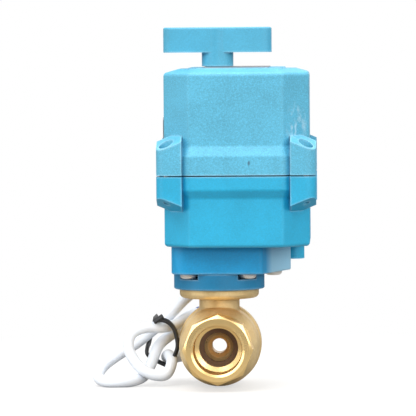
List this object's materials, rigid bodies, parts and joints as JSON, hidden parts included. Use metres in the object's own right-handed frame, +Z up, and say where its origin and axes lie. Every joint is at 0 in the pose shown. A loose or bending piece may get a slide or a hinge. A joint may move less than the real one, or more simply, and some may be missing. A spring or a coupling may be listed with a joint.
{
  "type": "motorized ball valve actuator",
  "caption": "Quarter-turn electric actuator in a blue plastic housing with a T-shaped manual override, driving a brass two-way threaded ball valve, with a coiled white cable.",
  "frame": {"origin": "centre of the front port's mouth, on the flow axis", "axes": "+Y along the flow axis from the front port to the rear port, +Z up along the stem"},
  "size_m": [0.1121, 0.0912, 0.1779],
  "materials": {
    "brass_body": "shot-blasted casting with bright machined ends",
    "ball_brass": "polished, nickel plated",
    "stem_brass": "turned",
    "gear_brass": "hobbed",
    "bush_bronze": "sintered bronze, matte",
    "seat_plastic": "filled PTFE, dark brown",
    "seal_rubber": "matte black",
    "screw_steel": "nickel plated",
    "shaft_steel": "ground",
    "gear_steel": "sintered",
    "plate_steel": "zinc plated sheet",
    "motor_steel": "drawn can, zinc plated",
    "label_aluminium": "satin foil",
    "cover_plastic": "moulded, fine grain, sky blue",
    "lower_plastic": "moulded, fine grain, sky blue",
    "handle_plastic": "moulded, fine grain, sky blue",
    "pedestal_plastic": "moulded, fine grain, blue",
    "ring_plastic": "moulded, fine grain, blue",
    "gear_plastic": "natural acetal",
    "cam_plastic": "moulded, red",
    "black_plastic": "moulded, black",
    "board_green": "glass-epoxy laminate with green mask",
    "relay_blue": "moulded",
    "terminal_green": "moulded",
    "cable_white": "PVC jacket, white",
    "lead_insulation": "PVC insulation"
  },
  "bodies": {
    "housing": {"valve_body": "brass_body", "end_adapter": "brass_body", "seat_rings": "seat_plastic", "stem_o_rings": "seal_rubber", "stem_washer": "seat_plastic", "pad_screws": "screw_steel", "yoke_ring": "ring_plastic", "pedestal": "pedestal_plastic", "foot_screws": "screw_steel", "lower_housing": "lower_plastic", "upper_cover": "cover_plastic", "housing_gasket": "seal_rubber", "cover_screws": "screw_steel", "top_label_plate": "label_aluminium", "side_nameplate": "label_aluminium", "compound_axle": "shaft_steel", "floor_bush": "bush_bronze", "plate_bush": "bush_bronze", "handle_seal": "seal_rubber", "lower_plate": "plate_steel", "upper_plate": "plate_steel", "plate_posts": "plate_steel", "plate_screws": "screw_steel", "motor_gearbox": "plate_steel", "motor": "motor_steel", "switch_screws": "screw_steel", "switch_bridge": "black_plastic", "circuit_board": "board_green", "board_posts": "plate_steel", "board_screws": "screw_steel", "relay": "relay_blue", "capacitors": "black_plastic", "terminal_block": "terminal_green", "cable_gland": "ring_plastic", "blanking_plug": "seal_rubber", "cable": "cable_white", "cable_leads": "lead_insulation", "cable_tie": "black_plastic", "closed_switch": "black_plastic", "open_switch": "black_plastic"},
    "drive": {"output_shaft": "shaft_steel", "output_gear": "gear_plastic", "stem_coupling": "shaft_steel", "valve_stem": "stem_brass", "ball": "ball_brass", "closed_cam": "cam_plastic", "open_cam": "cam_plastic"},
    "handle": {"t_handle": "handle_plastic"},
    "intermediate_gear": {"compound_gear": "gear_steel"},
    "motor_drive": {"motor_pinion": "gear_brass"},
    "closed_lever": {"closed_switch_lever": "plate_steel"},
    "open_lever": {"open_switch_lever": "plate_steel"}
  },
  "joints": [
    {"name": "valve_turn", "type": "hinge", "parent": "housing", "child": "drive", "pos_m": [0, 0.032, 0.065], "axis": [0, 0, -1], "range_deg": [0, 90]},
    {"name": "handle_lift", "type": "slide", "parent": "drive", "child": "handle", "axis": [0, 0, 1], "range_m": [0, 0.004]},
    {"name": "compound_gear_turn", "type": "hinge", "parent": "housing", "child": "intermediate_gear", "pos_m": [0.024, 0.032, 0.065], "axis": [0, 0, -1], "range_deg": [-360, 0]},
    {"name": "motor_pinion_turn", "type": "hinge", "parent": "housing", "child": "motor_drive", "pos_m": [0.0312, 0.01953, 0.072], "axis": [0, 0, -1], "range_deg": [0, 1080]},
    {"name": "closed_lever_press", "type": "hinge", "parent": "housing", "child": "closed_lever", "pos_m": [-0.007, 0.0199, 0.083], "axis": [0, 0, -1], "range_deg": [0, 4]},
    {"name": "open_lever_press", "type": "hinge", "parent": "housing", "child": "open_lever", "pos_m": [-0.007, 0.0441, 0.089], "axis": [0, 0, 1], "range_deg": [0, 4]}
  ],
  "couplings": [
    {"joint": "compound_gear_turn", "follows": "valve_turn", "ratio": -4},
    {"joint": "motor_pinion_turn", "follows": "valve_turn", "ratio": 12}
  ]
}
